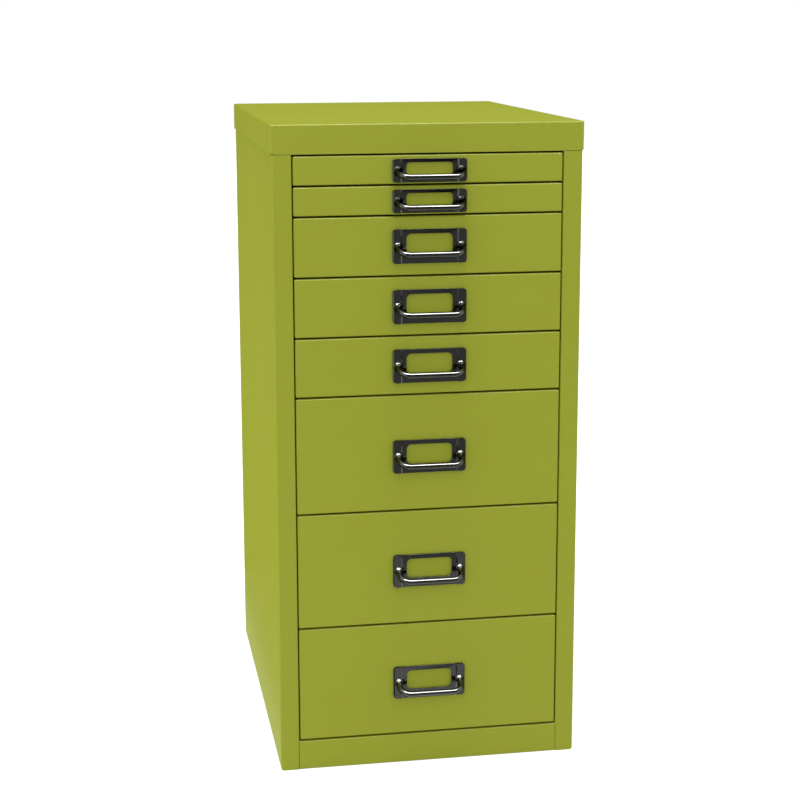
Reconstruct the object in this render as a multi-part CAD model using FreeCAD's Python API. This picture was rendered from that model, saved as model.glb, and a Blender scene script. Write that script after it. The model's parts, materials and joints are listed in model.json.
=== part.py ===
import FreeCAD, Part
import math
import os

from FreeCAD import Vector

# A free-standing steel cabinet with eight drawers, in millimetres. The origin is on the floor under
# the middle of the body, +X is to the right, +Y goes to the back and +Z is up.

# Carcass; a fold that never shows is drawn sharp, so bend is for the folds in view
overall_height = 590.0
overall_depth = 380.0
body_width = 276.0
sheet = 0.9
bend = 0.6
stile_width = 17.1
return_depth = 25.0
foot_radius = 3.0
rail_height = 27.4
rail_top_depth = 15.0
rail_foot_depth = 16.0
base_upstand = 12.0
dish_margin = 4.0
upright_depth = 36.0
upright_flange = 12.0
header_depth = 16.0

# Cap
cap_sheet = 1.2
cap_skirt = 26.0
cap_edge_radius = 2.0
cap_corner_radius = 3.0
cap_toe_radius = 4.5

# Clearances
fit = 0.3
seam = 0.4
gap = 1.6
side_gap = 1.0

# How far a cutting shape runs past the metal, and how near two points count as one
overcut = 1.0
same_place = 1e-6

# Drawer stack, from the top, in units of height that share out what the cap and rail leave
drawer_units = (1, 1, 2, 2, 2, 4, 4, 4)

# Drawer fronts
front_depth = 12.0
front_corner_radius = 1.8

# Trays
tray_sheet = 0.7
tray_back_clearance = 19.8
rim_drop = 4.0
rim_width = 8.0
rim_lip = 6.0
rim_hem = 3.0

# Runners and their stops
runner_sheet = 0.8
runner_side_clearance = 0.6
runner_lift_clearance = 0.8
stop_tab_setback = 8.0
stop_tab_height = 4.5
stop_side_clearance = 1.5
stop_tongue_setback = 68.0
stop_tongue_clearance = 1.0

# Handles: a cast label frame with a bail
handle_width = 66.4
handle_corner_radius = 3.0
flank_thickness = 2.8
frame_thickness = 1.8
flank_chamfer = 0.8
flank_step_half = 26.0
flank_step_slope = 1.2
strip_lean = 0.5
window_half = 20.9
card_depth = 0.8
card_margin = 2.2
bail_half = 31.0
bail_radius = 2.7
bail_reach = 21.0
bail_bend = 10.0
bail_sides = 10
bend_steps = 5
root_height = 0.6
root_depth = 1.5
root_half_width = 4.5
root_half_height = 3.6
waist_half_width = 3.5
waist_half_height = 3.0
waist_share = 0.4
small_handle = {
    "height": 20.5,
    "window_top": 3.0,
    "window_height": 11.5,
    "window_radius": 3.5,
    "bar_below": 4.3,
}
large_handle = {
    "height": 30.2,
    "window_top": 3.8,
    "window_height": 18.3,
    "window_radius": 4.5,
    "bar_below": 5.5,
}
handle_for_units = {1: small_handle, 2: large_handle, 4: large_handle}
handle_drop_for_units = {1: 1.0, 2: 0.5, 4: 3.0}

# Handle screws
screw_radius = 1.75
screw_sides = 8
screw_thread_fit = 0.05
screw_hole_fit = 0.35
screw_bite = 4.3
screw_head_radius = 3.4
screw_head_height = 2.0

# Sizes that follow from those above
fold = bend + sheet
cap_gap = cap_sheet + fit
unit_pitch = (overall_height - cap_skirt - gap - rail_height) / sum(drawer_units)
body_half = body_width / 2
opening_half = body_half - stile_width
front_half = opening_half - side_gap
cap_half = body_half + cap_gap
depth_half = overall_depth / 2
face = -depth_half
body_rear = depth_half - cap_gap
body_top = overall_height - cap_gap
cap_bottom = overall_height - cap_skirt
back_inside = body_rear - 2 * sheet
rim_half = opening_half - runner_sheet - runner_side_clearance
tray_half = rim_half - rim_width
tray_front = face + sheet
tray_rear = back_inside - tray_back_clearance
rim_front = face + front_depth + fit
runner_front = rim_front
runner_rear = back_inside - fit
tongue_front = tray_rear - stop_tongue_setback
tab_rear = runner_front + stop_tab_setback + runner_sheet
travel = tongue_front - tab_rear - fit
arm_half_spacing = bail_half - bail_radius
screw_half_spacing = arm_half_spacing

PLACES = {
    "x": (lambda a, b: Vector(0, a, b), Vector(1, 0, 0)),
    "y": (lambda a, b: Vector(a, 0, b), Vector(0, 1, 0)),
    "z": (lambda a, b: Vector(a, b, 0), Vector(0, 0, 1)),
}


def rounded_corner(before, corner, after, radius):
    """Start, middle and end of the arc that rounds a corner."""
    if radius <= 0:
        return corner, None, corner
    back = (before - corner).normalize()
    ahead = (after - corner).normalize()
    half_angle = back.getAngle(ahead) / 2
    inward = (back + ahead).normalize()
    reach = radius / math.tan(half_angle)
    centre = corner + inward * (radius / math.sin(half_angle))
    return corner + back * reach, centre - inward * radius, corner + ahead * reach


def prism(axis, low, high, points, radii=0.0):
    """A straight solid along an axis, whose section has the given corners and corner radii."""
    place, run = PLACES[axis]
    if not isinstance(radii, (list, tuple)):
        radii = [radii] * len(points)
    corners = [place(*point) for point in points]
    arcs = []
    for index, corner in enumerate(corners):
        after = corners[(index + 1) % len(corners)]
        arcs.append(rounded_corner(corners[index - 1], corner, after, radii[index]))
    edges = []
    for index, (start, middle, end) in enumerate(arcs):
        if middle:
            edges.append(Part.Arc(start, middle, end).toShape())
        following = arcs[(index + 1) % len(arcs)][0]
        if (following - end).Length > same_place:
            edges.append(Part.makeLine(end, following))
    section = Part.Face(Part.Wire(edges))
    section.translate(run * low)
    return section.extrude(run * (high - low))


def rectangle(across, up):
    """Corners of a rectangle from its two (low, high) pairs, anticlockwise from the low corner."""
    return [(across[0], up[0]), (across[1], up[0]), (across[1], up[1]), (across[0], up[1])]


def block(x, y, z, plan=0.0, front=0.0, side=0.0):
    """A block between (low, high) pairs; its corner radii are as seen from above, front and right."""
    solid = prism("z", z[0], z[1], rectangle(x, y), plan)
    if front:
        solid = solid.common(prism("y", y[0], y[1], rectangle(x, z), front))
    if side:
        solid = solid.common(prism("x", x[0], x[1], rectangle(y, z), side))
    return solid


def folded(path, thickness, radius=0.0):
    """Corners and radii of a folded strip; the path is its outer line, with the metal on its left."""
    lines = [(end[0] - start[0], end[1] - start[1]) for start, end in zip(path, path[1:])]
    normals = []
    for across, up in lines:
        length = math.hypot(across, up)
        normals.append((-up / length, across / length))
    inner = []
    for index, (across, up) in enumerate(path):
        before = normals[max(index - 1, 0)]
        after = normals[min(index, len(normals) - 1)]
        share = thickness / (1 + before[0] * after[0] + before[1] * after[1])
        inner.append((across + (before[0] + after[0]) * share, up + (before[1] + after[1]) * share))
    folds = len(path) - 2
    outer_radius = radius + thickness if radius else 0
    return path + inner[::-1], [0] + [outer_radius] * folds + [0, 0] + [radius] * folds + [0]


def mirrored(solid):
    """The same piece on the left."""
    return solid.mirror(Vector(0, 0, 0), Vector(1, 0, 0))


def both(solid):
    return solid.fuse(mirrored(solid))


def top_cap():
    """A pan upside down over the carcass, with the lower ends of its corners rounded off."""
    x = (-cap_half, cap_half)
    y = (-depth_half, depth_half)
    inside_x = (-cap_half + cap_sheet, cap_half - cap_sheet)
    inside_y = (-depth_half + cap_sheet, depth_half - cap_sheet)
    edges = [0, 0, cap_edge_radius, cap_edge_radius]
    cap = block(x, y, (cap_bottom, overall_height), cap_corner_radius, edges, edges)
    cap = cap.cut(block(inside_x, inside_y, (cap_bottom - overcut, overall_height - cap_sheet)))
    middle = Vector(cap_half - cap_toe_radius, depth_half - cap_toe_radius, cap_bottom + cap_toe_radius)
    bite = block(
        (middle.x, cap_half + overcut), (middle.y, depth_half + overcut), (cap_bottom - overcut, middle.z)
    )
    reach = cap_toe_radius + 2 * overcut
    outward = Vector(1, 0, 0)
    rearward = Vector(0, 1, 0)
    under_back = Part.makeCylinder(cap_toe_radius, reach, middle - outward * overcut, outward)
    under_side = Part.makeCylinder(cap_toe_radius, reach, middle - rearward * overcut, rearward)
    bite = both(bite.cut(under_back).common(bite.cut(under_side)))
    return cap.cut(bite).cut(bite.mirror(Vector(0, 0, 0), Vector(0, 1, 0)))


def header_rail():
    """The channel behind the cap's front skirt that ties the two side panels."""
    web = face + cap_sheet
    top = overall_height - cap_sheet
    path = [(web + header_depth, top), (web, top), (web, cap_bottom), (web + header_depth, cap_bottom)]
    return prism("x", -opening_half, opening_half, *folded(path, sheet))


def side_panel():
    """The right-hand panel: outer wall, front stile with its return, and flanges at the other edges."""
    wall = block(
        (opening_half, body_half),
        (face, body_rear),
        (0, body_top),
        [fold, fold, fold, 0],
        [0, foot_radius, fold, 0],
    )
    inside = body_half - sheet
    open_side = opening_half - overcut
    hollow_plan = [
        (opening_half + sheet, face + sheet),
        (inside, face + sheet),
        (inside, body_rear - sheet),
        (open_side, body_rear - sheet),
        (open_side, face + return_depth),
        (opening_half + sheet, face + return_depth),
    ]
    hollow = prism("z", sheet, body_top - sheet, hollow_plan)
    hollow_front = rectangle((open_side, inside), (sheet, body_top - sheet))
    hollow = hollow.common(prism("y", face, body_rear, hollow_front, [0, foot_radius - sheet, 0, 0]))
    under_skirt = block(
        (open_side, body_half + overcut),
        (face - overcut, face + cap_gap),
        (cap_bottom - seam, body_top + overcut),
    )
    return wall.cut(hollow).cut(under_skirt)


def back_panel():
    """A flat sheet lapped inside the rear flanges of the side panels."""
    half = body_half - fold - fit
    corner = foot_radius - sheet
    y = (back_inside, back_inside + sheet)
    return block((-half, half), y, (sheet, body_top - sheet), 0, [corner, corner, 0, 0])


def front_rail():
    """The folded rail between the stiles, under the lowest drawer; its foot runs in to the base pan."""
    path = [
        (face + rail_top_depth, rail_height),
        (face, rail_height),
        (face, 0),
        (face + rail_foot_depth, 0),
    ]
    return prism("x", -opening_half, opening_half, *folded(path, sheet, bend))


def base_pan():
    """The floor of the carcass: a pan on the lower flanges, set down to floor level between them."""
    half = body_half - sheet - fit
    y = (face + sheet, back_inside)
    corner = foot_radius - sheet
    top = sheet + base_upstand
    pan = block((-half, half), y, (sheet, top), 0, [corner, corner, 0, 0], [fold, 0, 0, 0])
    hollow_y = (y[0] + sheet, y[1] - sheet)
    hollow = block((-half + sheet, half - sheet), hollow_y, (2 * sheet, top + overcut))
    return_notch = block(
        (opening_half - fit, body_half), (face, face + return_depth + fit), (0, top + overcut)
    )
    dish_half = opening_half - dish_margin
    dish_front = face + rail_foot_depth + dish_margin
    dish_rear = back_inside - dish_margin
    dish = block((-dish_half, dish_half), (dish_front, dish_rear), (0, 2 * sheet))
    hollow_half = dish_half - sheet
    dish_hollow_y = (dish_front + sheet, dish_rear - sheet)
    dish_hollow = block((-hollow_half, hollow_half), dish_hollow_y, (sheet, 2 * sheet))
    pan = pan.cut(hollow).cut(both(return_notch))
    return pan.fuse(dish).cut(dish_hollow).removeSplitter()


def rear_upright():
    """The right-hand channel that carries the rear ends of the runners, notched over the base pan."""
    path = [
        (opening_half + upright_flange, back_inside),
        (opening_half, back_inside),
        (opening_half, back_inside - upright_depth),
        (opening_half + upright_flange, back_inside - upright_depth),
    ]
    upright = prism("z", 2 * sheet, body_top - sheet, *folded(path, sheet))
    notch = block(
        (opening_half - overcut, body_half),
        (back_inside - sheet - fit, back_inside + overcut),
        (0, sheet + base_upstand + fit),
    )
    return upright.cut(notch)


def runner(rim_top):
    """The right-hand channel that a drawer's rim slides in, with the tab that stops the drawer."""
    ledge_top = rim_top - rim_lip - fit
    low = ledge_top - runner_sheet
    high = rim_top + runner_lift_clearance + runner_sheet
    inner = tray_half + runner_lift_clearance
    path = [(inner, low), (opening_half, low), (opening_half, high), (inner, high)]
    channel = prism("y", runner_front, runner_rear, *folded(path, runner_sheet))
    tab = block(
        (tray_half + stop_side_clearance, rim_half - tray_sheet - stop_side_clearance),
        (tab_rear - runner_sheet, tab_rear),
        (ledge_top - runner_sheet / 2, ledge_top + stop_tab_height),
    )
    return channel.fuse(tab).removeSplitter()


def screw_places(centre):
    """Where the two screws of a handle stand."""
    return [Vector(side * screw_half_spacing, face, centre + root_height) for side in (-1, 1)]


def screw_pegs(centre, radius, low, high):
    """Two pegs along Y, from low to high, where the screws stand."""
    pegs = []
    for place in screw_places(centre):
        corners = []
        for index in range(screw_sides):
            turn = 2 * math.pi * (index + 0.5) / screw_sides
            corners.append((place.x + radius * math.cos(turn), place.z + radius * math.sin(turn)))
        pegs.append(prism("y", low, high, corners))
    return Part.makeCompound(pegs)


def drawer_front(low, high, centre):
    """A shallow pan with soft edges, open to the back."""
    corner = front_corner_radius
    side_folds = [fold, fold, 0, 0]
    level_folds = [fold, 0, 0, fold]
    y = (face, face + front_depth)
    pan = block((-front_half, front_half), y, (low, high), side_folds, corner, level_folds)
    hollow = block(
        (-front_half + sheet, front_half - sheet),
        (face + sheet, face + front_depth + overcut),
        (low + sheet, high - sheet),
    )
    holes = screw_pegs(centre, screw_radius + screw_hole_fit, face - overcut, tray_front + overcut)
    return pan.cut(hollow).cut(holes)


def drawer_tray(low, rim_top, centre):
    """A box folded from one sheet, with a rim turned out and down along each side."""
    floor = low + sheet + fit
    wall_top = rim_top - rim_hem
    wall_inside = tray_half - tray_sheet
    tray = block((-tray_half, tray_half), (tray_front, tray_rear), (floor, wall_top))
    hollow = block(
        (-wall_inside, wall_inside),
        (tray_front + tray_sheet, tray_rear - tray_sheet),
        (floor + tray_sheet, wall_top + overcut),
    )
    path = [
        (rim_half, rim_top - rim_lip),
        (rim_half, rim_top),
        (wall_inside, rim_top),
        (wall_inside, wall_top - tray_sheet),
    ]
    rim = prism("y", rim_front, tray_rear, *folded(path, tray_sheet))
    tongue = block(
        (tray_half + stop_tongue_clearance, rim_half - tray_sheet / 2),
        (tongue_front, tongue_front + tray_sheet),
        (rim_top - rim_lip + fit, rim_top - tray_sheet / 2),
    )
    tray = tray.cut(hollow).fuse([rim, tongue, mirrored(rim), mirrored(tongue)]).removeSplitter()
    hole_radius = screw_radius + screw_hole_fit
    holes = screw_pegs(centre, hole_radius, tray_front - overcut, tray_front + tray_sheet + overcut)
    return tray.cut(holes)


def handle_plate(kind, centre):
    """The label frame: thick flanks, a thinner frame round the window, and a slot behind for a card.

    The strip over the window leans back a little, which eases the card in."""
    half = handle_width / 2
    low = centre - kind["height"] / 2
    high = centre + kind["height"] / 2
    flank = face - flank_thickness
    frame = face - frame_thickness
    step_end = flank_step_half - flank_step_slope
    section = [
        (-half, face),
        (-half, flank + flank_chamfer),
        (-half + flank_chamfer, flank),
        (-flank_step_half, flank),
        (-step_end, frame),
        (step_end, frame),
        (flank_step_half, flank),
        (half - flank_chamfer, flank),
        (half, flank + flank_chamfer),
        (half, face),
    ]
    plate = prism("z", low, high, section)
    outline = rectangle((-half, half), (low, high))
    plate = plate.common(prism("y", flank, face, outline, handle_corner_radius))
    window_high = high - kind["window_top"]
    window_low = window_high - kind["window_height"]
    opening = rectangle((-window_half, window_half), (window_low, window_high))
    window = prism("y", flank - overcut, face + overcut, opening, kind["window_radius"])
    card_half = window_half + card_margin
    card = block((-card_half, card_half), (face - card_depth, face), (window_low - card_margin, high))
    leaning_strip = [(frame, window_high), (frame + strip_lean, high), (frame - overcut, high)]
    lean = prism("x", -step_end, step_end, leaning_strip)
    return plate.cut(window).cut(card).cut(lean)


def ring(centre, first, second, half_width, half_height):
    """Corners of a many-sided ring round a centre, in the plane of two directions."""
    corners = []
    for index in range(bail_sides):
        turn = 2 * math.pi * (index + 0.5) / bail_sides
        sideways = first * (half_width * math.cos(turn))
        corners.append(centre + sideways + second * (half_height * math.sin(turn)))
    return corners


def skinned(rings):
    """A solid with two flat triangles from each side of a ring to the next, closed at both ends."""
    faces = [Part.Face(Part.makePolygon(end + end[:1])) for end in (rings[0], rings[-1])]
    for near, far in zip(rings, rings[1:]):
        for index in range(bail_sides):
            start = near[index - 1]
            for corners in ([start, near[index], far[index]], [start, far[index], far[index - 1]]):
                faces.append(Part.Face(Part.makePolygon(corners + corners[:1])))
    solid = Part.Solid(Part.Shell(faces))
    if solid.Volume < 0:
        solid.reverse()
    return solid


def bail(kind, centre):
    """The bar to pull by: it runs straight across, bends back and flares into the two flanks."""
    root = Vector(arm_half_spacing, face - root_depth, centre + root_height)
    bar = Vector(root.x, face - bail_reach + bail_radius, centre - kind["bar_below"])
    across = Vector(1, 0, 0)
    out = (bar - root).normalize()
    upward = across.cross(out)
    arm_end = bar - out * bail_bend
    waist = root + (arm_end - root) * waist_share
    pivot = arm_end - across * bail_bend
    rings = [
        ring(root, across, upward, root_half_width, root_half_height),
        ring(waist, across, upward, waist_half_width, waist_half_height),
    ]
    for step in range(bend_steps + 1):
        turn = math.pi / 2 * step / bend_steps
        radial = across * math.cos(turn) + out * math.sin(turn)
        rings.append(ring(pivot + radial * bail_bend, radial, upward, bail_radius, bail_radius))
    other_side = [[Vector(-point.x, point.y, point.z) for point in corners] for corners in rings]
    return skinned(rings + other_side[::-1])


def handle(kind, centre):
    """One casting: the label frame and the bail, tapped from behind for two screws."""
    casting = handle_plate(kind, centre).fuse(bail(kind, centre)).removeSplitter()
    holes = screw_pegs(centre, screw_radius + screw_thread_fit, face - screw_bite - fit, face + overcut)
    return casting.cut(holes)


def screws(centre):
    """Two screws, put in from inside the drawer."""
    seat = tray_front + tray_sheet
    shanks = screw_pegs(centre, screw_radius, face - screw_bite, seat)
    heads = screw_pegs(centre, screw_head_radius, seat, seat + screw_head_height)
    pieces = [shank.fuse(head) for shank, head in zip(shanks.Solids, heads.Solids)]
    return Part.makeCompound(pieces)


def drawer_levels():
    """(low, high, units) of each drawer front, from the top drawer down."""
    levels = []
    line = cap_bottom - gap / 2
    for units in drawer_units:
        lower_line = line - units * unit_pitch
        levels.append((lower_line + gap / 2, line - gap / 2, units))
        line = lower_line
    return levels


def build():
    """Every piece of the cabinet by name."""
    panel = side_panel()
    upright = rear_upright()
    pieces = {
        "top_cap": top_cap(),
        "header_rail": header_rail(),
        "side_panel_left": mirrored(panel),
        "side_panel_right": panel,
        "back_panel": back_panel(),
        "base_pan": base_pan(),
        "front_rail": front_rail(),
        "rear_upright_left": mirrored(upright),
        "rear_upright_right": upright,
    }
    for number, (low, high, units) in enumerate(drawer_levels(), start=1):
        rim_top = high - rim_drop
        centre = (low + high) / 2 - handle_drop_for_units[units]
        kind = handle_for_units[units]
        right_runner = runner(rim_top)
        pieces[f"runner_left_{number}"] = mirrored(right_runner)
        pieces[f"runner_right_{number}"] = right_runner
        pieces[f"drawer_{number}_front"] = drawer_front(low, high, centre)
        pieces[f"drawer_{number}_tray"] = drawer_tray(low, rim_top, centre)
        pieces[f"drawer_{number}_handle"] = handle(kind, centre)
        pieces[f"drawer_{number}_screws"] = screws(centre)
    return pieces


def main():
    os.makedirs("parts", exist_ok=True)
    for name, shape in build().items():
        solids = shape.Solids
        assert solids and all(solid.isValid() for solid in solids), name
        whole = solids[0] if len(solids) == 1 else Part.makeCompound(solids)
        whole.exportStep(os.path.join("parts", name + ".step"))
    print(f"unit pitch {unit_pitch:.2f}, drawer travel {travel:.2f}")


main()
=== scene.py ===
import json
import math

import bmesh
import bpy
from mathutils import Matrix, Vector

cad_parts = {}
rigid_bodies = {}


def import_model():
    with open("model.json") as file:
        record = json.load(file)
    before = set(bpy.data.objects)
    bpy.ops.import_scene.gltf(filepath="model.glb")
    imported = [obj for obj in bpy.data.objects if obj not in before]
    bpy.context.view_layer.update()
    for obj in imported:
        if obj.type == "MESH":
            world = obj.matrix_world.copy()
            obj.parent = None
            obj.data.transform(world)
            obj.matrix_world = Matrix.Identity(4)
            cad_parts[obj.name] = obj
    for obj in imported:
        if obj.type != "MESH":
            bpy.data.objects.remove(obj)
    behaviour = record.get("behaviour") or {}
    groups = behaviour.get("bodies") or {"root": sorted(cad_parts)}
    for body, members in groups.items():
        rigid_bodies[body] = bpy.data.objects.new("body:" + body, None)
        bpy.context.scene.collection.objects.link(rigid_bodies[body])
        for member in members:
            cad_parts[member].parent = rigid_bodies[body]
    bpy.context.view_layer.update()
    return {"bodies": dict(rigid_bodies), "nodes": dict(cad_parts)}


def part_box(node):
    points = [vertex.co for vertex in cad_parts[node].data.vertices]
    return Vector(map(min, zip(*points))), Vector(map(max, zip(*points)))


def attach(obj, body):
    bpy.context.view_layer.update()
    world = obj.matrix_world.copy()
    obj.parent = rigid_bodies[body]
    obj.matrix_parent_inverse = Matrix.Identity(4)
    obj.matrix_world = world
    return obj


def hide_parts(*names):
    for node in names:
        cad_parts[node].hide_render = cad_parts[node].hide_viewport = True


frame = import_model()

bl_info = {
    "name": "Eight-drawer steel cabinet",
    "version": (1, 0, 0),
    "blender": (4, 5, 0),
    "location": "3D View > Sidebar > Cabinet",
    "description": "Enamels the sheet steel, casts the handles, fits the screws and sets up the studio",
    "category": "Object",
}

MM = 0.001
DRAWERS = sorted(name for name in frame["bodies"] if name.startswith("drawer_"))


# Colours and nodes


def linear(code):
    """An sRGB hex value as the linear colour that Blender works with."""
    parts = [int(code[place : place + 2], 16) / 255 for place in (1, 3, 5)]
    return tuple(part / 12.92 if part <= 0.04045 else ((part + 0.055) / 1.055) ** 2.4 for part in parts)


def add(tree, kind, values=None, links=None, **settings):
    """A node with its settings, the constants on its sockets, and its links from other outputs."""
    node = tree.nodes.new(kind)
    for name, value in settings.items():
        setattr(node, name, value)
    for socket, value in (values or {}).items():
        node.inputs[socket].default_value = value
    for socket, output in (links or {}).items():
        tree.links.new(output, node.inputs[socket])
    return node


def empty_material(name):
    """A new material and its cleared node tree."""
    material = bpy.data.materials.new(name)
    material.use_nodes = True
    material.node_tree.nodes.clear()
    return material, material.node_tree


def finish_material(tree, shader):
    """Sends a shader to the material's output."""
    add(tree, "ShaderNodeOutputMaterial", links={"Surface": shader.outputs[0]})


# Sizes and colours that a user would change


class SheetFinishSettings(bpy.types.PropertyGroup):
    """The enamel on every pressed piece."""

    colour: bpy.props.FloatVectorProperty(
        name="Enamel",
        description="Colour of the stoved enamel",
        subtype="COLOR",
        size=3,
        min=0,
        max=1,
        default=linear("#989F30"),
    )
    thin_colour: bpy.props.FloatVectorProperty(
        name="Thin film",
        description="Colour where the enamel lies a little thinner",
        subtype="COLOR",
        size=3,
        min=0,
        max=1,
        default=linear("#9AA233"),
    )
    roughness: bpy.props.FloatProperty(
        name="Roughness",
        description="Satin gloss of the baked film",
        subtype="FACTOR",
        min=0,
        max=1,
        default=0.42,
    )
    gloss: bpy.props.FloatProperty(
        name="Gloss",
        description="Share of the light that the film's smooth skin throws back",
        subtype="FACTOR",
        min=0,
        max=1,
        default=0.25,
    )
    peel_size: bpy.props.FloatProperty(
        name="Orange peel",
        description="Width of one dimple that the spray leaves",
        unit="LENGTH",
        min=0.5 * MM,
        max=10 * MM,
        default=2.4 * MM,
    )
    drift_size: bpy.props.FloatProperty(
        name="Film drift",
        description="Distance over which the film's thickness changes",
        unit="LENGTH",
        min=20 * MM,
        max=500 * MM,
        default=110 * MM,
    )
    edge_softening: bpy.props.FloatProperty(
        name="Edge softening",
        description="How far the enamel rounds a cut or folded edge",
        unit="LENGTH",
        min=0,
        max=0.4 * MM,
        default=0.22 * MM,
    )


class HandleSettings(bpy.types.PropertyGroup):
    """The chromed castings."""

    # The dark grey is partly the plate's own colour and partly painted shade for the dark surroundings that
    # it reflects
    colour: bpy.props.FloatVectorProperty(
        name="Chrome",
        description="Reflected colour of the plate",
        subtype="COLOR",
        size=3,
        min=0,
        max=1,
        default=linear("#5A5A58"),
    )
    roughness: bpy.props.FloatProperty(
        name="Roughness",
        description="Blur of the reflections in the plate",
        subtype="FACTOR",
        min=0,
        max=1,
        default=0.13,
    )
    width: bpy.props.FloatProperty(
        name="Width",
        description="Width of the label frame",
        unit="LENGTH",
        min=40 * MM,
        max=120 * MM,
        default=66.4 * MM,
    )
    rod_radius: bpy.props.FloatProperty(
        name="Bail radius",
        description="Radius of the bar to pull by",
        unit="LENGTH",
        min=1.5 * MM,
        max=5 * MM,
        default=2.7 * MM,
    )
    reach: bpy.props.FloatProperty(
        name="Bail reach",
        description="How far the bail stands out from the drawer front",
        unit="LENGTH",
        min=12 * MM,
        max=40 * MM,
        default=21 * MM,
    )
    edge_rounding: bpy.props.FloatProperty(
        name="Edge rounding",
        description="Radius that the mould and the polishing leave on the frame's edges",
        unit="LENGTH",
        min=0.1 * MM,
        max=0.8 * MM,
        default=0.4 * MM,
    )


class ScrewSettings(bpy.types.PropertyGroup):
    """The screws inside the drawers that hold the handles."""

    colour: bpy.props.FloatVectorProperty(
        name="Zinc",
        description="Reflected colour of the zinc plate",
        subtype="COLOR",
        size=3,
        min=0,
        max=1,
        default=linear("#B4B7BA"),
    )
    head_radius: bpy.props.FloatProperty(
        name="Head radius",
        description="Radius of the pan head",
        unit="LENGTH",
        min=2 * MM,
        max=6 * MM,
        default=3.3 * MM,
    )
    recess_width: bpy.props.FloatProperty(
        name="Recess",
        description="Span of the cross recess",
        unit="LENGTH",
        min=1 * MM,
        max=6 * MM,
        default=3.6 * MM,
    )


class StudioSettings(bpy.types.PropertyGroup):
    """Floor, lamps and camera."""

    floor_colour: bpy.props.FloatVectorProperty(
        name="Floor",
        description="Colour of the plain floor",
        subtype="COLOR",
        size=3,
        min=0,
        max=1,
        default=linear("#E6E6E4"),
    )
    dome_level: bpy.props.FloatProperty(
        name="Dome",
        description="Light from all round",
        min=0,
        max=3,
        default=0.91,
    )
    overhead_power: bpy.props.FloatProperty(
        name="Overhead softbox",
        description="Power of the softbox over the cabinet",
        subtype="POWER",
        min=0,
        max=500,
        default=13.6,
    )
    low_power: bpy.props.FloatProperty(
        name="Low softbox",
        description="Power of the long low softbox beside the left panel",
        subtype="POWER",
        min=0,
        max=500,
        default=2.5,
    )
    strip_glow: bpy.props.FloatProperty(
        name="Strip light",
        description="Brightness of the strip light in reflections",
        min=0,
        max=50,
        default=26,
    )
    azimuth: bpy.props.FloatProperty(
        name="Azimuth",
        description="Direction of the camera round the cabinet",
        subtype="ANGLE",
        default=math.radians(-9.893),
    )
    elevation: bpy.props.FloatProperty(
        name="Elevation",
        description="Height of the camera as an angle",
        subtype="ANGLE",
        default=math.radians(11.093),
    )
    roll: bpy.props.FloatProperty(
        name="Roll",
        description="Tilt of the camera about its own axis",
        subtype="ANGLE",
        default=math.radians(-0.118),
    )
    distance: bpy.props.FloatProperty(
        name="Distance",
        description="From the camera to the point that it looks at",
        unit="LENGTH",
        min=0.5,
        max=10,
        default=1.7462,
    )
    target: bpy.props.FloatVectorProperty(
        name="Target",
        description="The point that the camera looks at",
        subtype="XYZ",
        unit="LENGTH",
        size=3,
        default=(0.00666, 0.0, 0.34319),
    )
    lens: bpy.props.FloatProperty(
        name="Lens",
        description="Focal length on a 36 mm sensor, in millimetres",
        min=20,
        max=200,
        default=78.52,
    )
    shift_up: bpy.props.FloatProperty(
        name="Shift",
        description="Vertical shift of the lens, in frame widths",
        min=-0.2,
        max=0.2,
        default=-0.05,
    )


# Finishes

# Depth of the orange peel, and how far the enamel's and the chrome's roughness wander
PEEL_DEPTH = 0.03 * MM
SATIN_DRIFT = 0.03
HAZE_DRIFT = 0.05

# The waves that polishing leaves, from crest to crest and in depth
WAVE_LENGTH = 7 * MM
WAVE_DEPTH = 0.05 * MM

# Width of the patches of haze on the chrome, and of the clouds on the zinc
HAZE_SIZE = 4 * MM
CLOUD_SIZE = 1 * MM


def stoved_enamel(settings):
    """Stoved enamel, sprayed on steel sheet and baked: an even satin film with a faint orange peel."""
    material, tree = empty_material("stoved_enamel")
    place = add(tree, "ShaderNodeTexCoord").outputs["Object"]
    # The spray lays the film thicker here and thinner there, which shifts its colour and satin slightly
    drift = add(
        tree,
        "ShaderNodeTexNoise",
        {"Scale": 1 / settings.drift_size, "Detail": 2.0, "Roughness": 0.45},
        {"Vector": place},
    )
    tone = add(
        tree,
        "ShaderNodeMix",
        {"A": (*settings.colour, 1), "B": (*settings.thin_colour, 1)},
        {"Factor": drift.outputs["Fac"]},
        data_type="RGBA",
    )
    low, high = settings.roughness - SATIN_DRIFT, settings.roughness + SATIN_DRIFT
    satin = add(
        tree,
        "ShaderNodeMapRange",
        {"From Min": 0.3, "From Max": 0.7, "To Min": low, "To Max": high},
        {"Value": drift.outputs["Fac"]},
    )
    # Orange peel: shallow dimples, a few hundredths of a millimetre deep
    peel = add(
        tree,
        "ShaderNodeTexNoise",
        {"Scale": 1 / settings.peel_size, "Detail": 1.5, "Roughness": 0.4},
        {"Vector": place},
    )
    bump = add(
        tree,
        "ShaderNodeBump",
        {"Strength": 0.35, "Distance": PEEL_DEPTH},
        {"Height": peel.outputs["Fac"]},
    )
    # The pigment below is matt, and the resin that rises to the skin gives the satin sheen
    shader = add(
        tree,
        "ShaderNodeBsdfPrincipled",
        {"IOR": 1.5, "Specular IOR Level": 0.0, "Coat Weight": settings.gloss, "Coat Roughness": 0.3},
        {
            "Base Color": tone.outputs["Result"],
            "Roughness": satin.outputs["Result"],
            "Normal": bump.outputs["Normal"],
        },
    )
    finish_material(tree, shader)
    return material


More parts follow.
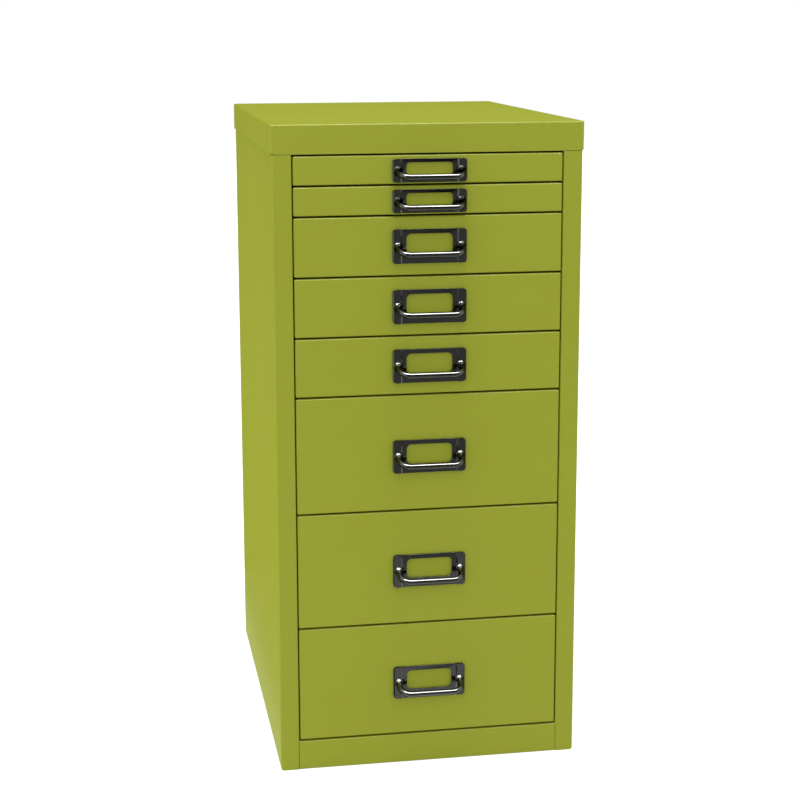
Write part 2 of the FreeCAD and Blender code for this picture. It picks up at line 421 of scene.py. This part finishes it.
def chrome_plate(settings):
    """Chrome over nickel on a polished zinc casting: a deep mirror that waves a little with the casting.
    Its dark grey is partly the plate's own colour and partly painted shade for the dark surroundings that
    it reflects.
    """
    material, tree = empty_material("chrome_plated_casting")
    place = add(tree, "ShaderNodeTexCoord").outputs["Object"]
    # Polishing leaves the faces slightly wavy, so straight reflections waver
    wave = add(tree, "ShaderNodeTexNoise", {"Scale": 1 / WAVE_LENGTH, "Detail": 1.0}, {"Vector": place})
    bump = add(
        tree, "ShaderNodeBump", {"Strength": 0.5, "Distance": WAVE_DEPTH}, {"Height": wave.outputs["Fac"]}
    )
    # Handling leaves a thin haze in patches
    haze = add(tree, "ShaderNodeTexNoise", {"Scale": 1 / HAZE_SIZE, "Detail": 3.0}, {"Vector": place})
    low, high = settings.roughness - SATIN_DRIFT, settings.roughness + HAZE_DRIFT
    blur = add(
        tree,
        "ShaderNodeMapRange",
        {"From Min": 0.35, "From Max": 0.7, "To Min": low, "To Max": high},
        {"Value": haze.outputs["Fac"]},
    )
    # The haze also dulls what the plate reflects at a grazing angle
    shader = add(
        tree,
        "ShaderNodeBsdfPrincipled",
        # The dark base colour is partly painted shade for the dark surroundings in the plate's reflections
        {"Base Color": (*settings.colour, 1), "Metallic": 1.0, "Specular Tint": (0.3, 0.3, 0.31, 1)},
        {"Roughness": blur.outputs["Result"], "Normal": bump.outputs["Normal"]},
    )
    finish_material(tree, shader)
    return material


def zinc_plate(settings):
    """Bright zinc plate on rolled and headed steel: a pale, slightly clouded metal."""
    material, tree = empty_material("bright_zinc_plate")
    place = add(tree, "ShaderNodeTexCoord").outputs["Object"]
    # The plating bath clouds the surface in small spots
    cloud = add(tree, "ShaderNodeTexNoise", {"Scale": 1 / CLOUD_SIZE, "Detail": 2.0}, {"Vector": place})
    blur = add(
        tree, "ShaderNodeMapRange", {"To Min": 0.28, "To Max": 0.42}, {"Value": cloud.outputs["Fac"]}
    )
    shader = add(
        tree,
        "ShaderNodeBsdfPrincipled",
        {"Base Color": (*settings.colour, 1), "Metallic": 1.0},
        {"Roughness": blur.outputs["Result"]},
    )
    finish_material(tree, shader)
    return material


# Mesh helpers

# Weight of large faces against small ones in the shading normals, from 1 to 100
LARGE_FACE_WEIGHT = 90


def seen_from_above(across, depth, along):
    """Places an outline drawn in plan, which runs upwards."""
    return (across, depth, along)


def seen_from_front(across, up, along):
    """Places an outline drawn from the front, which runs backwards."""
    return (across, along, up)


def seen_from_side(depth, up, along):
    """Places an outline drawn from the side, which runs to the right."""
    return (along, depth, up)


def rounded_outline(width, height, radius, steps=8):
    """Corners of a rectangle round the origin with rounded corners, anticlockwise."""
    points = []
    for quarter, (side, level) in enumerate(((1, 1), (-1, 1), (-1, -1), (1, -1))):
        centre = (side * (width / 2 - radius), level * (height / 2 - radius))
        for step in range(steps + 1):
            turn = math.pi / 2 * (quarter + step / steps)
            points.append((centre[0] + radius * math.cos(turn), centre[1] + radius * math.sin(turn)))
    return points


def ring(centre, first, second, half_width, half_height, sides):
    """Points of an oval round a centre, in the plane of two directions."""
    points = []
    for side in range(sides):
        turn = 2 * math.pi * side / sides
        sideways = first * (half_width * math.cos(turn))
        points.append(centre + sideways + second * (half_height * math.sin(turn)))
    return points


def prism(name, points, low, high, place):
    """A straight solid over an outline; place puts (across, up, along) in space."""
    mesh = bmesh.new()
    bottom = [mesh.verts.new(place(across, up, low)) for across, up in points]
    top = [mesh.verts.new(place(across, up, high)) for across, up in points]
    mesh.faces.new(bottom[::-1])
    mesh.faces.new(top)
    for index in range(len(points)):
        after = (index + 1) % len(points)
        mesh.faces.new([bottom[index], bottom[after], top[after], top[index]])
    return mesh_object(name, mesh)


def tube(mesh, rings):
    """Skins a row of rings of equal length, closed at both ends."""
    rows = [[mesh.verts.new(point) for point in points] for points in rings]
    for near, far in zip(rows, rows[1:]):
        for index in range(len(near)):
            mesh.faces.new([near[index - 1], near[index], far[index], far[index - 1]])
    mesh.faces.new(rows[0][::-1])
    mesh.faces.new(rows[-1])


def mesh_object(name, mesh):
    """An object in the scene from a bmesh, with its faces turned outwards."""
    bmesh.ops.recalc_face_normals(mesh, faces=mesh.faces)
    data = bpy.data.meshes.new(name)
    mesh.to_mesh(data)
    mesh.free()
    made = bpy.data.objects.new(name, data)
    bpy.context.scene.collection.objects.link(made)
    return made


def discard(spent):
    """Removes an object and its mesh."""
    data = spent.data
    bpy.data.objects.remove(spent)
    bpy.data.meshes.remove(data)


def carve(made, tool, operation):
    """Changes an object's mesh by a second one, which is then gone."""
    cut = made.modifiers.new(operation, "BOOLEAN")
    cut.operation = operation
    cut.object = tool
    cut.solver = "EXACT"
    settle(made)
    discard(tool)


def settle(made):
    """Turns an object's modifiers into its mesh."""
    bpy.context.view_layer.update()
    source = made.evaluated_get(bpy.context.evaluated_depsgraph_get())
    before = made.data
    made.data = bpy.data.meshes.new_from_object(source)
    made.data.name = before.name
    made.modifiers.clear()
    bpy.data.meshes.remove(before)


def soften(made, width, segments, angle):
    """Rounds the edges sharper than an angle, and keeps the flat faces flat to the light."""
    bevel = made.modifiers.new("rounded edges", "BEVEL")
    bevel.width = width
    bevel.segments = segments
    bevel.limit_method = "ANGLE"
    bevel.angle_limit = math.radians(angle)
    bevel.miter_outer = "MITER_ARC"
    made.modifiers.new("flat faces", "WEIGHTED_NORMAL").weight = LARGE_FACE_WEIGHT


def smooth_between(data, angle):
    """Shades a mesh smoothly up to an angle, and sharply beyond it."""
    for polygon in data.polygons:
        polygon.use_smooth = True
    data.set_sharp_from_angle(angle=math.radians(angle))


# Sheet steel

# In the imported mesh, points this near are one point, and faces within this many degrees are one face
SAME_PLACE = 0.001 * MM
SAME_PLANE = 0.5


class CABINET_OT_enamel_sheet(bpy.types.Operator):
    """Enamel every pressed steel piece and round its edges as the film does"""

    bl_idname = "cabinet.enamel_sheet"
    bl_label = "Enamel the sheet steel"

    def execute(self, context):
        settings = context.scene.cabinet_sheet
        enamel = stoved_enamel(settings)
        for node in frame["nodes"].values():
            if node.data.materials[0].name.startswith("green_paint"):
                node.data.materials[0] = enamel
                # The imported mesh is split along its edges, so they are joined before they are rounded
                weld = node.modifiers.new("joined edges", "WELD")
                weld.merge_threshold = SAME_PLACE
                flat = node.modifiers.new("whole faces", "DECIMATE")
                flat.decimate_type = "DISSOLVE"
                flat.angle_limit = math.radians(SAME_PLANE)
                soften(node, settings.edge_softening, segments=2, angle=30)
        return {"FINISHED"}


# Handles

# Each casting has its back on the plane of the drawer front and its middle at the origin
SMALL_HANDLE = {
    "height": 20.5 * MM,
    "window_top": 3.0 * MM,
    "window_height": 11.5 * MM,
    "window_radius": 3.5 * MM,
    "bar_below": 4.3 * MM,
}
LARGE_HANDLE = {
    "height": 30.2 * MM,
    "window_top": 3.8 * MM,
    "window_height": 18.3 * MM,
    "window_radius": 4.5 * MM,
    "bar_below": 5.5 * MM,
}
TALLEST_SMALL_HANDLE = 25 * MM

# The label frame: thick flanks that step down to a thinner frame round the window
FLANK_THICKNESS = 2.8 * MM
FLANK_CHAMFER = 0.8 * MM
FRAME_THICKNESS = 1.8 * MM
FRAME_CORNER = 3.0 * MM
STEP_OUTSIDE = 26.0 * MM
STEP_INSIDE = 24.8 * MM
WINDOW_HALF = 20.9 * MM
CARD_DEPTH = 0.8 * MM
CARD_MARGIN = 2.2 * MM
STRIP_LEAN = 0.5 * MM

# How far a cutting shape runs past the metal
OVERCUT = 1 * MM

# The bail: where it roots in the flanks and how it bends
BAIL_HALF = 31 * MM
BAIL_BEND = 10 * MM
ROOT_DEPTH = 1.2 * MM
ROOT_HEIGHT = 0.6 * MM

# Each arm widens slowly towards its flank, and a fillet ends it
SWELL_WIDTH = 1.8 * MM
SWELL_HEIGHT = 0.9 * MM
SWELL_FADE = 2
FILLET = 0.45 * MM
FILLET_START = 1.5 * MM
FILLET_FADE = 0.7 * MM

# Rings along each arm, closer together at the root, rings round each bend, and sides of each ring
ARM_STEPS = 18
ARM_CROWDING = 1.6
BEND_STEPS = 14
BAIL_SIDES = 24


def label_frame(name, kind, settings):
    """The frame round the label window, with a thicker flank on each side and a slot behind for a card."""
    half = settings.width / 2
    height = kind["height"]
    before = -FLANK_THICKNESS - OVERCUT
    profile = [
        (half, 0.0),
        (half, FLANK_CHAMFER - FLANK_THICKNESS),
        (half - FLANK_CHAMFER, -FLANK_THICKNESS),
        (STEP_OUTSIDE, -FLANK_THICKNESS),
        (STEP_INSIDE, -FRAME_THICKNESS),
    ]
    profile += [(-across, depth) for across, depth in profile[::-1]]
    plate = prism(name, profile, -height, height, seen_from_above)
    outline = rounded_outline(2 * half, height, FRAME_CORNER)
    carve(plate, prism("blank", outline, before, OVERCUT, seen_from_front), "INTERSECT")

    window_high = height / 2 - kind["window_top"]
    window_low = window_high - kind["window_height"]
    middle = (window_low + window_high) / 2
    opening = rounded_outline(2 * WINDOW_HALF, kind["window_height"], kind["window_radius"])
    window = [(across, up + middle) for across, up in opening]
    carve(plate, prism("window", window, before, OVERCUT, seen_from_front), "DIFFERENCE")

    card_half = WINDOW_HALF + CARD_MARGIN
    card_low = window_low - CARD_MARGIN
    slot = [(-card_half, card_low), (card_half, card_low), (card_half, height), (-card_half, height)]
    carve(plate, prism("slot", slot, -CARD_DEPTH, OVERCUT, seen_from_front), "DIFFERENCE")

    # The strip over the window leans back, which eases the card in
    lean = [
        (-FRAME_THICKNESS, window_high),
        (STRIP_LEAN - FRAME_THICKNESS, height / 2),
        (-FRAME_THICKNESS - OVERCUT, height / 2),
    ]
    carve(plate, prism("lean", lean, -STEP_INSIDE, STEP_INSIDE, seen_from_side), "DIFFERENCE")
    soften(plate, settings.edge_rounding, segments=3, angle=28)
    settle(plate)
    return plate


def bail_rings(kind, settings):
    """Rings of the bail from its right root to its left one, swollen at the roots and straight across."""
    radius = settings.rod_radius
    root = Vector((BAIL_HALF - radius, -ROOT_DEPTH, ROOT_HEIGHT))
    bar = Vector((root.x, radius - settings.reach, -kind["bar_below"]))
    across = Vector((1, 0, 0))
    out = (bar - root).normalized()
    upward = across.cross(out)
    arm_end = bar - out * BAIL_BEND
    arm_length = (arm_end - root).length
    last = math.exp(-SWELL_FADE)
    rings = []
    for step in range(ARM_STEPS + 1):
        share = (step / ARM_STEPS) ** ARM_CROWDING
        along = share * arm_length
        swell = (math.exp(-SWELL_FADE * share) - last) / (1 - last)
        fillet = FILLET * math.exp(-max(0, along - FILLET_START) / FILLET_FADE)
        half_width = radius + SWELL_WIDTH * swell + fillet
        half_height = radius + SWELL_HEIGHT * swell + fillet
        rings.append(ring(root + out * along, across, upward, half_width, half_height, BAIL_SIDES))
    pivot = arm_end - across * BAIL_BEND
    for step in range(1, BEND_STEPS + 1):
        turn = math.pi / 2 * step / BEND_STEPS
        radial = across * math.cos(turn) + out * math.sin(turn)
        rings.append(ring(pivot + radial * BAIL_BEND, radial, upward, radius, radius, BAIL_SIDES))
    left = [[Vector((-point.x, point.y, point.z)) for point in points] for points in rings]
    return rings + left[::-1]


def handle_mesh(name, kind, settings, chrome):
    """One casting: the label frame and its bail."""
    plate = label_frame(name, kind, settings)
    mesh = bmesh.new()
    mesh.from_mesh(plate.data)
    discard(plate)
    tube(mesh, bail_rings(kind, settings))
    whole = mesh_object(name, mesh)
    whole.data.materials.append(chrome)
    smooth_between(whole.data, angle=50)
    flat = whole.modifiers.new("flat faces", "WEIGHTED_NORMAL")
    flat.weight = LARGE_FACE_WEIGHT
    flat.keep_sharp = True
    settle(whole)
    joined = whole.data
    bpy.data.objects.remove(whole)
    return joined


class CABINET_OT_cast_handles(bpy.types.Operator):
    """Cast the chromed label-frame handles and put one on each drawer"""

    bl_idname = "cabinet.cast_handles"
    bl_label = "Cast the handles"

    def execute(self, context):
        settings = context.scene.cabinet_handle
        chrome = chrome_plate(settings)
        meshes = {}
        for drawer in DRAWERS:
            node = f"{drawer}_handle"
            low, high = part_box(node)
            small = high.z - low.z < TALLEST_SMALL_HANDLE
            size, kind = ("small", SMALL_HANDLE) if small else ("large", LARGE_HANDLE)
            if size not in meshes:
                meshes[size] = handle_mesh(f"{size}_handle", kind, settings, chrome)
            handle = bpy.data.objects.new(f"{drawer}_label_handle", meshes[size])
            context.scene.collection.objects.link(handle)
            handle.location = (0, high.y, (low.z + high.z) / 2)
            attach(handle, drawer)
            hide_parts(node)
        return {"FINISHED"}


# Screws

# The pan head: its height, and its outline as shares of its radius and heights over its seat
HEAD_HEIGHT = 2.0 * MM
PAN_PROFILE = (
    (0.45, 1.97 * MM),
    (0.72, 1.75 * MM),
    (0.9, 1.3 * MM),
    (1.0, 0.75 * MM),
    (1.0, 0.0),
)

# The cross recess: its cutter's top, tip and half thickness, how it tapers, and its turn in degrees
RECESS_TOP = 2.5 * MM
RECESS_TIP = 0.7 * MM
BLADE_HALF = 0.38 * MM
RECESS_TAPER = 0.45
RECESS_TURN = 20

# The shank, and how far each screw stands from the middle of the handle
SHANK_RADIUS = 1.75 * MM
SHANK_LENGTH = 7.8 * MM
SCREW_OFFSET = 28.3 * MM
SCREW_SIDES = 32


def round_ring(radius, along):
    """A ring round a screw's axis."""
    axes = Vector((1, 0, 0)), Vector((0, 0, 1))
    return ring(Vector((0, along, 0)), *axes, radius, radius, SCREW_SIDES)


def screw_pair(settings, zinc):
    """Two pan-head screws, as far apart as the handle's tapped holes, with cross recesses."""
    mesh = bmesh.new()
    tube(mesh, [round_ring(settings.head_radius * share, level) for share, level in PAN_PROFILE])
    head = mesh_object("pan_head", mesh)
    span = settings.recess_width / 2
    foot = span * RECESS_TAPER
    blade = [(-span, RECESS_TOP), (span, RECESS_TOP), (foot, RECESS_TIP), (-foot, RECESS_TIP)]
    for turn in (RECESS_TURN, RECESS_TURN + 90):
        about = Matrix.Rotation(math.radians(turn), 3, "Y")
        arm = prism("recess", blade, -BLADE_HALF, BLADE_HALF, lambda *point: about @ Vector(point))
        carve(head, arm, "DIFFERENCE")
    shank = [round_ring(SHANK_RADIUS, depth) for depth in (-SHANK_LENGTH, 0.0)]
    mesh = bmesh.new()
    for offset in (-SCREW_OFFSET, SCREW_OFFSET):
        first = len(mesh.verts)
        mesh.from_mesh(head.data)
        tube(mesh, shank)
        mesh.verts.ensure_lookup_table()
        bmesh.ops.translate(mesh, verts=mesh.verts[first:], vec=(offset, 0, 0))
    discard(head)
    bmesh.ops.recalc_face_normals(mesh, faces=mesh.faces)
    joined = bpy.data.meshes.new("handle_screws")
    mesh.to_mesh(joined)
    mesh.free()
    smooth_between(joined, angle=40)
    joined.materials.append(zinc)
    return joined


class CABINET_OT_fit_screws(bpy.types.Operator):
    """Fit the two zinc-plated screws inside each drawer front"""

    bl_idname = "cabinet.fit_screws"
    bl_label = "Fit the screws"

    def execute(self, context):
        settings = context.scene.cabinet_screw
        mesh = screw_pair(settings, zinc_plate(settings))
        for drawer in DRAWERS:
            node = f"{drawer}_screws"
            low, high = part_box(node)
            screws = bpy.data.objects.new(f"{drawer}_pan_head_screws", mesh)
            context.scene.collection.objects.link(screws)
            screws.location = (0, high.y - HEAD_HEIGHT, (low.z + high.z) / 2)
            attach(screws, drawer)
            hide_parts(node)
        return {"FINISHED"}


# Studio

# The floor reaches this far from the cabinet and lies a hair under it, and a glow makes it read white
FLOOR_REACH = 8
FLOOR_DROP = 0.1 * MM
FLOOR_GLOW = 0.6

# Width of the camera's sensor in millimetres
SENSOR_WIDTH = 36

# Softboxes, in metres: width, depth, place, and the point that each faces
OVERHEAD_SOFTBOX = (0.9, 0.7, (-0.1, -0.5, 2.2), (0, -0.1, 0.3))
LOW_SOFTBOX = (0.8, 0.2, (-0.95, 0, 0.12), (0, 0, 0.1))

# A card on the floor lies this far over it
CARD_LIFT = 1 * MM

# What only reflections show: width and height in metres, place, and tilt in degrees
STRIP_LIGHT = (2.4, 0.7, (0, -0.75, 2.2), 15)
DARK_CARD = (4.0, 2.0, (0.2, -2.0, 1.0), 90)
PLAIN_CARDS = {
    "dark_floor_card": ("dark", 8.0, 1.2, (0.2, -1.4, CARD_LIFT), 0),
    "grey_floor_card": ("grey", 4.0, 0.5, (0.2, -0.55, CARD_LIFT), 0),
    "dim_backdrop_card": ("dim", 5.0, 3.0, (0, 2.2, 1.5), 90),
    "dim_floor_card": ("dim", 5.0, 1.8, (0, 1.3, CARD_LIFT), 0),
    "dim_left_card": ("dim", 2.0, 0.7, (-1.16, 0.05, CARD_LIFT), 0),
}
CARD_SHADES = {
    "dark": (0.27, 0.27, 0.265, 1),
    "grey": (0.65, 0.65, 0.66, 1),
    "dim": (0.1, 0.1, 0.1, 1),
}

# The card behind the camera darkens upwards, from the first height and shade to the second
GRADED_SHADES = ((0.25, CARD_SHADES["dark"]), (0.45, (0.035, 0.035, 0.034, 1)))


def seen_plainly(tree):
    """1 for a ray that shows the background as it is: from the camera, a mirror or glass."""
    path = add(tree, "ShaderNodeLightPath").outputs
    first = add(
        tree,
        "ShaderNodeMath",
        links={0: path["Is Camera Ray"], 1: path["Is Glossy Ray"]},
        operation="MAXIMUM",
    )
    both = add(
        tree,
        "ShaderNodeMath",
        links={0: first.outputs[0], 1: path["Is Transmission Ray"]},
        operation="MAXIMUM",
    )
    return both.outputs[0]


def lamp(name, power, width, depth, place, target):
    """A rectangular softbox that faces a point."""
    light = bpy.data.lights.new(name, "AREA")
    light.shape = "RECTANGLE"
    light.size = width
    light.size_y = depth
    light.energy = power
    made = bpy.data.objects.new(name, light)
    bpy.context.scene.collection.objects.link(made)
    made.location = place
    made.rotation_euler = (Vector(target) - Vector(place)).to_track_quat("-Z", "Y").to_euler()
    return made


def card(name, material, width, height, place, tilt):
    """A panel that only reflections show."""
    mesh = bmesh.new()
    bmesh.ops.create_grid(mesh, x_segments=1, y_segments=1, size=0.5)
    bmesh.ops.scale(mesh, vec=(width, height, 1), verts=mesh.verts)
    panel = mesh_object(name, mesh)
    panel.location = place
    panel.rotation_euler = (math.radians(tilt), 0, 0)
    panel.data.materials.append(material)
    panel.visible_camera = False
    panel.visible_diffuse = False
    panel.visible_transmission = False
    panel.visible_shadow = False


class CABINET_OT_set_studio(bpy.types.Operator):
    """Lay the floor, hang the lamps and cards and place the camera"""

    bl_idname = "cabinet.set_studio"
    bl_label = "Set up the studio"

    def execute(self, context):
        settings = context.scene.cabinet_studio
        self.lay_floor(settings)
        self.light_dome(context, settings)
        self.hang_softboxes(settings)
        self.hang_strip_light(settings)
        self.hang_cards()
        self.place_camera(context, settings)
        context.scene.view_settings.view_transform = "Standard"
        return {"FINISHED"}

    def lay_floor(self, settings):
        """A plain floor of matt paper that reads white under light and keeps the cabinet's shadow."""
        mesh = bmesh.new()
        bmesh.ops.create_grid(mesh, x_segments=1, y_segments=1, size=FLOOR_REACH)
        floor = mesh_object("floor", mesh)
        floor.location = (0, 0, -FLOOR_DROP)
        material, tree = empty_material("matt_floor_paper")
        paper = add(tree, "ShaderNodeBsdfDiffuse", {"Color": (*settings.floor_colour, 1)})
        glow = add(tree, "ShaderNodeEmission", {"Color": (1, 1, 1, 1)})
        lift = add(tree, "ShaderNodeMath", {1: FLOOR_GLOW}, {0: seen_plainly(tree)}, operation="MULTIPLY")
        tree.links.new(lift.outputs[0], glow.inputs["Strength"])
        both = add(tree, "ShaderNodeAddShader", links={0: paper.outputs[0], 1: glow.outputs[0]})
        finish_material(tree, both)
        floor.data.materials.append(material)

    def light_dome(self, context, settings):
        """An even dome of light, which shows as plain white."""
        world = bpy.data.worlds.new("studio")
        context.scene.world = world
        world.use_nodes = True
        tree = world.node_tree
        tree.nodes.clear()
        dome = add(tree, "ShaderNodeBackground", {"Color": (1, 1, 1, 1), "Strength": settings.dome_level})
        white = add(tree, "ShaderNodeBackground", {"Color": (1, 1, 1, 1), "Strength": 1.0})
        mixed = add(
            tree,
            "ShaderNodeMixShader",
            links={0: seen_plainly(tree), 1: dome.outputs[0], 2: white.outputs[0]},
        )
        add(tree, "ShaderNodeOutputWorld", links={"Surface": mixed.outputs[0]})

    def hang_softboxes(self, settings):
        """One softbox overhead, and a long low one that lightens the left panel towards the floor."""
        lamp("overhead_softbox", settings.overhead_power, *OVERHEAD_SOFTBOX)
        low = lamp("low_softbox", settings.low_power, *LOW_SOFTBOX)
        low.visible_camera = False
        low.visible_glossy = False

    def hang_strip_light(self, settings):
        """A long light over the cabinet that draws the bright line along each bail."""
        material, tree = empty_material("strip_light")
        finish_material(tree, add(tree, "ShaderNodeEmission", {"Strength": settings.strip_glow}))
        card("strip_light", material, *STRIP_LIGHT)

    def hang_cards(self):
        """Dark cards give the chrome its depth, and dim ones keep a pale wash off the top and side."""
        boards = {}
        for shade, colour in CARD_SHADES.items():
            boards[shade], tree = empty_material(f"{shade}_card_board")
            finish_material(tree, add(tree, "ShaderNodeEmission", {"Color": colour}))
        for name, (shade, *measures) in PLAIN_CARDS.items():
            card(name, boards[shade], *measures)
        material, tree = empty_material("graded_card_board")
        place = add(tree, "ShaderNodeTexCoord").outputs["Generated"]
        height = add(tree, "ShaderNodeSeparateXYZ", links={"Vector": place}).outputs["Y"]
        grade = add(tree, "ShaderNodeValToRGB", links={"Fac": height})
        for element, (position, colour) in zip(grade.color_ramp.elements, GRADED_SHADES):
            element.position = position
            element.color = colour
        finish_material(tree, add(tree, "ShaderNodeEmission", links={"Color": grade.outputs["Color"]}))
        card("dark_card", material, *DARK_CARD)

    def place_camera(self, context, settings):
        """The photograph's viewpoint."""
        azimuth, elevation, roll = settings.azimuth, settings.elevation, settings.roll
        level = Vector((math.cos(azimuth), math.sin(azimuth), 0))
        behind = Vector((math.sin(azimuth), -math.cos(azimuth), 0))
        back = behind * math.cos(elevation) + Vector((0, 0, math.sin(elevation)))
        above = back.cross(level)
        right = level * math.cos(roll) + above * math.sin(roll)
        up = above * math.cos(roll) - level * math.sin(roll)
        data = bpy.data.cameras.new("camera")
        data.sensor_width = SENSOR_WIDTH
        data.lens = settings.lens
        data.shift_y = settings.shift_up
        camera = bpy.data.objects.new("camera", data)
        context.scene.collection.objects.link(camera)
        place = Vector(settings.target) + back * settings.distance
        camera.matrix_world = Matrix.Translation(place) @ Matrix((right, up, back)).transposed().to_4x4()
        context.scene.camera = camera


# Panel and registration


class CABINET_PT_sidebar(bpy.types.Panel):
    """Lists the steps that dress the cabinet"""

    bl_idname = "CABINET_PT_sidebar"
    bl_label = "Cabinet"
    bl_space_type = "VIEW_3D"
    bl_region_type = "UI"
    bl_category = "Cabinet"

    def draw(self, context):
        for name, _, operator in STEPS:
            box = self.layout.box()
            settings = getattr(context.scene, name)
            for setting in settings.__annotations__:
                box.prop(settings, setting)
            box.operator(operator.bl_idname)


STEPS = (
    ("cabinet_sheet", SheetFinishSettings, CABINET_OT_enamel_sheet),
    ("cabinet_handle", HandleSettings, CABINET_OT_cast_handles),
    ("cabinet_screw", ScrewSettings, CABINET_OT_fit_screws),
    ("cabinet_studio", StudioSettings, CABINET_OT_set_studio),
)


def register():
    """Registers the settings, operators and panel."""
    for name, group, operator in STEPS:
        bpy.utils.register_class(group)
        setattr(bpy.types.Scene, name, bpy.props.PointerProperty(type=group))
        bpy.utils.register_class(operator)
    bpy.utils.register_class(CABINET_PT_sidebar)


def unregister():
    """Takes the panel, operators and settings away again."""
    bpy.utils.unregister_class(CABINET_PT_sidebar)
    for name, group, operator in reversed(STEPS):
        bpy.utils.unregister_class(operator)
        delattr(bpy.types.Scene, name)
        bpy.utils.unregister_class(group)


def main():
    """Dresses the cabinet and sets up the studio."""
    register()
    bpy.ops.cabinet.enamel_sheet()
    bpy.ops.cabinet.cast_handles()
    bpy.ops.cabinet.fit_screws()
    bpy.ops.cabinet.set_studio()


if __name__ == "__main__":
    main()
